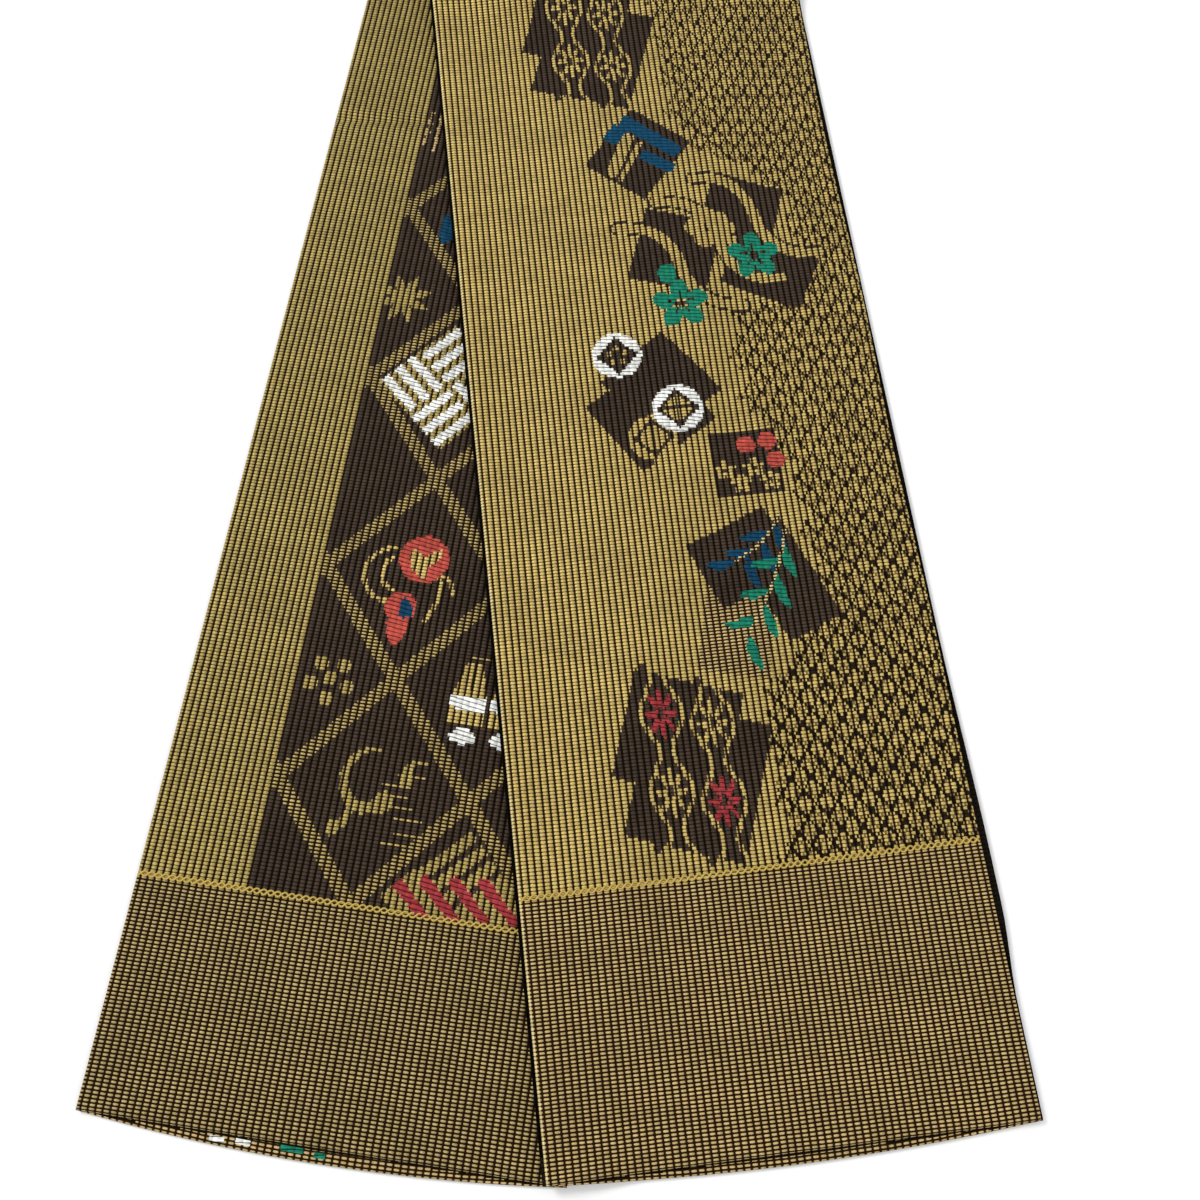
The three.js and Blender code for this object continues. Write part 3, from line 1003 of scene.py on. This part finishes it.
# A small square with three berries over gold flecks.
tare_chart.ribbed(square((22, 241), (26, 27), 0), BROWN)
for step in range(4):
    flower = (13.5 + 5.6 * step, 236 + 3 * (-1) ** step)
    tare_chart.ribbed(petals(flower, 4.2, 5, fat=0.5, hollow=0.15), GOLD)
for berry in ((23, 248.5), (31.5, 249.5), (33.5, 241)):
    tare_chart.brocade(disc(berry, 3.7, 0.95), CORAL)

# Willow leaves over two tilted squares, with their stems in fine cream pads.
# Pale cream: the willow stems' yarn, and the painted highlight along the tare's left edge.
CREAM_AND_EDGE_HIGHLIGHT = dye("c9b680", 0.1)
tare_chart.ribbed(square((9, 177), (26, 38), -14), BEIGE, THIN)
for middle, size, turn in (((15, 203), (34, 28), 23), ((29, 193), (22, 44), 22)):
    tare_chart.ribbed(square(middle, size, turn), BROWN)


def willow_branch(stem, yarn):
    """Leaves hang from the stem by turns: one out to the left, and one steeply down."""
    for step, (x, s) in enumerate(stem[1:]):
        if step % 2:
            tip, bow = (x - 12, s - 1), 0.8
        else:
            tip, bow = (x + 3, s - 14), -0.7
        tare_chart.brocade(leaf((x, s), tip, 3.6, bow), yarn)
    tare_chart.ribbed(stroke(stem, 1.2), CREAM_AND_EDGE_HIGHLIGHT, THIN)


willow_branch(curve((31, 219), (25, 207), (12, 202), 6), NAVY)
willow_branch(curve((32, 212), (27, 192), (12, 173), 7), GREEN)

tare_chart.ribbed(lambda x, s: s < TARE_LINE, BEIGE, THIN)
# A painted highlight: the outermost column on the tare's left edge, where the rounded edge rib catches
# the light.
tare_chart.ribbed(lambda x, s: x < -HALF_CUT + 2 * RIB / 3, CREAM_AND_EDGE_HIGHLIGHT)
weave_face(tare_face, tare_chart)
tare_face.finish(
    face_material,
    "face_cloth",
    ["tare_face"],
    flat_size(tare_leg.length),
    "laid",
    ("te_face", "folded_middle"),
)

# ---------------------------------------------------------------- folded middle
# The rest of the tube, folded to and fro in a neat stack between the two legs. It starts from
# the te leg's far end, turns over six times with soft round folds, and ends under the tare leg.

STACK_NEAR, STACK_FAR = 553.0, 883.0
STACK_LAYERS = 6
FOLD_RADIUS = 1.5
HALF_THICK = 1.3

midpoint = (te_leg.end + tare_leg.end) / 2


def heading(lean):
    return np.array([math.sin(lean), math.cos(lean)])


def middle_at(leg, y):
    return leg.end + leg.along * (midpoint[1] + y - leg.end[1]) / leg.along[1]


def where_crossed(point, direction, line_point, line_normal):
    """How far along a direction a line across it is met."""
    return ((line_point - point) @ line_normal) / (direction @ line_normal)


te_middle = middle_at(te_leg, STACK_NEAR)
tare_middle = middle_at(tare_leg, STACK_NEAR)
block_middle = (te_middle + tare_middle) / 2
block_far = np.array([block_middle[0], midpoint[1] + STACK_FAR])
te_far = te_leg.end + te_leg.along * te_leg.length
tare_far = tare_leg.end + tare_leg.along * tare_leg.length

# Each layer: its middle line, its lean, and the fold lines where it starts and stops.
near_folds = [
    (te_middle, heading(TE_LEAN / 2)),
    (block_middle, heading(0)),
    (tare_middle, heading(TARE_LEAN / 2)),
]
far_folds = [
    (te_far, heading(TE_LEAN)),
    (block_far, heading(0)),
    (block_far, heading(0)),
    (tare_far, heading(TARE_LEAN)),
]
layer_middles = [te_middle, block_middle, block_middle, block_middle, block_middle, tare_middle]
layer_leans = [TE_LEAN, 0, 0, 0, 0, TARE_LEAN]


def folded_path(x, steps, bend_steps):
    """Places down the folded band's middle at a distance across it, with the way it faces."""
    places, normals = [], []
    for index in range(STACK_LAYERS):
        lean, middle = layer_leans[index], layer_middles[index]
        along = heading(lean)
        across = np.array([along[1], -along[0]])
        point = middle + across * x
        near = where_crossed(point, along, *near_folds[index // 2])
        far = where_crossed(point, along, *far_folds[(index + 1) // 2])
        going_out = index % 2 == 1
        inset = FOLD_RADIUS + HALF_THICK
        first, last = (near, far) if going_out else (far, near)
        sign = 1 if going_out else -1
        near_end, far_end = first + sign * inset, last - sign * inset
        if index == 0:
            near_end = first
        if index == STACK_LAYERS - 1:
            far_end = last
        z = LAYER_PITCH * (index + 1) + THICKNESS / 2
        if index == 0:
            for step in range(bend_steps + 1):
                angle = math.pi * step / bend_steps
                plan = point + along * (near_end + FOLD_RADIUS * math.sin(angle))
                places.append([*plan, z - FOLD_RADIUS * (1 + math.cos(angle))])
                normals.append([*(-along * math.sin(angle)), math.cos(angle)])
        for step in range(steps + 1):
            part = near_end + (far_end - near_end) * step / steps
            places.append([*(point + along * part), z])
            normals.append([0, 0, -1 if index % 2 == 0 else 1])
        out = along * sign
        top = index == STACK_LAYERS - 1
        for step in range(1, bend_steps + (1 if top else 0)):
            angle = math.pi * step / bend_steps
            plan = point + along * far_end + out * FOLD_RADIUS * math.sin(angle)
            places.append([*plan, z + FOLD_RADIUS * (1 - math.cos(angle))])
            side = -1 if index % 2 == 0 else 1
            normals.append([*(out * math.sin(angle) * side), side * math.cos(angle)])
    return np.array(places), np.array(normals)


FOLDED_COLUMNS = 132
LAYER_STEPS = 24
BEND_STEPS = 8
sample, _ = folded_path(0, LAYER_STEPS, BEND_STEPS)
runs = np.concatenate([[0], np.cumsum(np.linalg.norm(np.diff(sample, axis=0), axis=1))])
folded_length = runs[-1]
folded = Cloth("folded_middle_cloth", FOLDED_COLUMNS, list(runs), 2 * RIBS)

# The tube's cross-section: over the top from the left seam to the right side, and back below.
flat_run = BAND / 2 - SIDE_RADIUS
half_ring = 2 * flat_run + math.pi * HALF_THICK
points = np.empty((len(folded.share), 3))
row_of = np.searchsorted(runs, folded.along - 1e-9)
for column in range(FOLDED_COLUMNS + 1):
    run = 2 * half_ring * column / FOLDED_COLUMNS
    side = 1 if run <= half_ring else -1
    run = run if side > 0 else 2 * half_ring - run
    quarter = math.pi / 2 * HALF_THICK
    left = np.clip(1 - run / quarter, 0, 1) * math.pi / 2
    right = np.clip(1 - (half_ring - run) / quarter, 0, 1) * math.pi / 2
    x = np.clip(run - quarter, 0, 2 * flat_run) - flat_run
    x += HALF_THICK * (math.sin(right) - math.sin(left))
    lift = side * HALF_THICK * math.cos(max(left, right))
    places, normals = folded_path(x, LAYER_STEPS, BEND_STEPS)
    chosen = folded.column == column
    points[chosen] = places[row_of[chosen]] + normals[row_of[chosen]] * lift
folded.lay(points)
folded.dress(GOLD, FULL)
folded_material = woven_material("folded cloth")
folded.finish(
    folded_material,
    "folded_cloth",
    ["folded_middle", "te_turn", "tare_turn"],
    (2 * half_ring * MM, folded_length * MM),
    "folded",
    ("te_face",),
)

# ---------------------------------------------------------------- gold lines by the end bands
# A chain of small loops in bright gold thread is woven across each face, where the figured
# cloth stops and the end band starts.

LINE_GOLD = dye("d3b65a", 0.3)
LINE_RADIUS = 0.38
LINE_SWING = 0.85


def thread_material(name, colour, shine):
    """A twisted thread: slanting ply marks along its length, with painted shade in the grooves between
    the plies.
    """
    material = bpy.data.materials.new(name)
    material.use_nodes = True
    tree = material.node_tree
    shader = tree.nodes["Principled BSDF"]
    place = tree.nodes.new("ShaderNodeTexCoord")
    twist = tree.nodes.new("ShaderNodeTexWave")
    twist.inputs["Scale"].default_value = 900.0
    twist.inputs["Distortion"].default_value = 1.5
    tree.links.new(place.outputs["Object"], twist.inputs["Vector"])
    # Painted shade in the twist's grooves: the thread's colour made darker.
    ply_groove_shade = tuple(0.55 * c for c in colour[:3]) + (1,)
    shade = add_mix(tree, "MIX", twist.outputs["Fac"], ply_groove_shade, colour[:3] + (1,))
    tree.links.new(shade, shader.inputs["Base Color"])
    relief = tree.nodes.new("ShaderNodeBump")
    relief.inputs["Strength"].default_value = 0.4
    relief.inputs["Distance"].default_value = 0.1 * MM
    tree.links.new(twist.outputs["Fac"], relief.inputs["Height"])
    tree.links.new(relief.outputs[0], shader.inputs["Normal"])
    shader.inputs["Metallic"].default_value = shine
    shader.inputs["Roughness"].default_value = 0.5
    return material


def add_thread(name, routes, radius, material):
    """Threads along routes given in millimetres, joined in one piece."""
    data = bpy.data.curves.new(name, "CURVE")
    data.dimensions = "3D"
    data.bevel_depth = radius * MM
    data.bevel_resolution = 1
    data.resolution_u = 2
    for route in routes:
        spline = data.splines.new("POLY")
        spline.points.add(len(route) - 1)
        for point, place in zip(spline.points, route):
            point.co = (place[0] * MM, place[1] * MM, place[2] * MM, 1)
    thread = bpy.data.objects.new(name, data)
    bpy.context.collection.objects.link(thread)
    bpy.ops.object.select_all(action="DESELECT")
    bpy.context.view_layer.objects.active = thread
    thread.select_set(True)
    bpy.ops.object.convert(target="MESH")
    thread.data.materials.append(material)
    thread.data.shade_smooth()
    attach(thread, "root")
    return thread


def on_leg(leg, height_under, x, s, lift):
    """A place on a leg's face."""
    x, s = np.atleast_1d(x).astype(float), np.atleast_1d(s).astype(float)
    _, inward = round_side(x)
    drop = SIDE_RADIUS - np.sqrt(np.clip(SIDE_RADIUS**2 - inward**2, 0, None))
    height = height_under(x, s) + THICKNESS - drop + lift
    return np.column_stack([leg.plan(x, s), height])


gold_thread = thread_material("gold line thread", LINE_GOLD, 0.4)


def end_line(name, leg, height_under, place, tilt):
    """Two threads that weave to and fro across each other, a loop to every rib."""
    x = np.linspace(-BAND / 2 + 0.8, BAND / 2 - 0.8, RIBS * 6 + 1)
    routes = []
    for side in (-1, 1):
        wave = np.sin(x / RIB * math.pi)
        s = place + tilt * x / BAND + side * LINE_SWING * wave
        lift = 0.05 + 0.15 * side * np.cos(x / RIB * math.pi)
        routes.append(on_leg(leg, height_under, x, s, lift))
    return add_thread(name, routes, LINE_RADIUS, gold_thread)


end_line("te_gold_line", te_leg, lie_flat, TE_LINE, -1.0)
end_line("tare_gold_line", tare_leg, lie_over, TARE_LINE, 2.0)

# ---------------------------------------------------------------- floor, light and camera
# The sash lies on a plain pale surface, under soft light that comes mostly from the left.

bpy.ops.object.select_all(action="DESELECT")
bpy.ops.mesh.primitive_plane_add(size=8, location=(0, 0, -0.0002))
floor = bpy.context.object
floor.name = "floor"
floor_material = bpy.data.materials.new("pale floor")
floor_material.use_nodes = True
floor_shader = floor_material.node_tree.nodes["Principled BSDF"]
floor_shader.inputs["Base Color"].default_value = (0.93, 0.93, 0.93, 1)
floor_shader.inputs["Roughness"].default_value = 0.9
floor_shader.inputs["Specular IOR Level"].default_value = 0.0
floor.data.materials.append(floor_material)

world = bpy.data.worlds.new("studio")
world.use_nodes = True
world.node_tree.nodes["Background"].inputs[0].default_value = (1, 1, 1, 1)
world.node_tree.nodes["Background"].inputs[1].default_value = 0.75
bpy.context.scene.world = world


def add_soft_light(name, place, target, size, power):
    data = bpy.data.lights.new(name, "AREA")
    data.shape = "DISK"
    data.size = size
    data.energy = power
    light = bpy.data.objects.new(name, data)
    bpy.context.collection.objects.link(light)
    light.location = place
    aim = light.location.copy()
    aim.x, aim.y, aim.z = (t - p for t, p in zip(target, place))
    light.rotation_euler = aim.to_track_quat("-Z", "Y").to_euler()
    return light


add_soft_light("key light", (-1.5, 0.6, 1.5), (0, -0.2, 0), 0.8, 28)
add_soft_light("fill light", (1.4, -0.8, 1.8), (0, -0.2, 0), 1.6, 8)

bpy.context.scene.view_settings.view_transform = "Standard"

LENS = 37.5
SENSOR = 36.0
CAMERA_DOWN = math.radians(70.55)
CAMERA_RIGHT, CAMERA_FORWARD, CAMERA_HEIGHT = 13.6, 32.9, 435.6
camera_data = bpy.data.cameras.new("camera")
camera_data.lens = LENS
camera_data.sensor_width = SENSOR
camera_data.clip_start = 0.01
camera = bpy.data.objects.new("camera", camera_data)
bpy.context.collection.objects.link(camera)
camera_x = (midpoint[0] + CAMERA_RIGHT) * MM
camera_y = (midpoint[1] + CAMERA_FORWARD) * MM
camera.location = (camera_x, camera_y, CAMERA_HEIGHT * MM)
camera.rotation_euler = (math.pi / 2 - CAMERA_DOWN, 0, 0)
bpy.context.scene.camera = camera
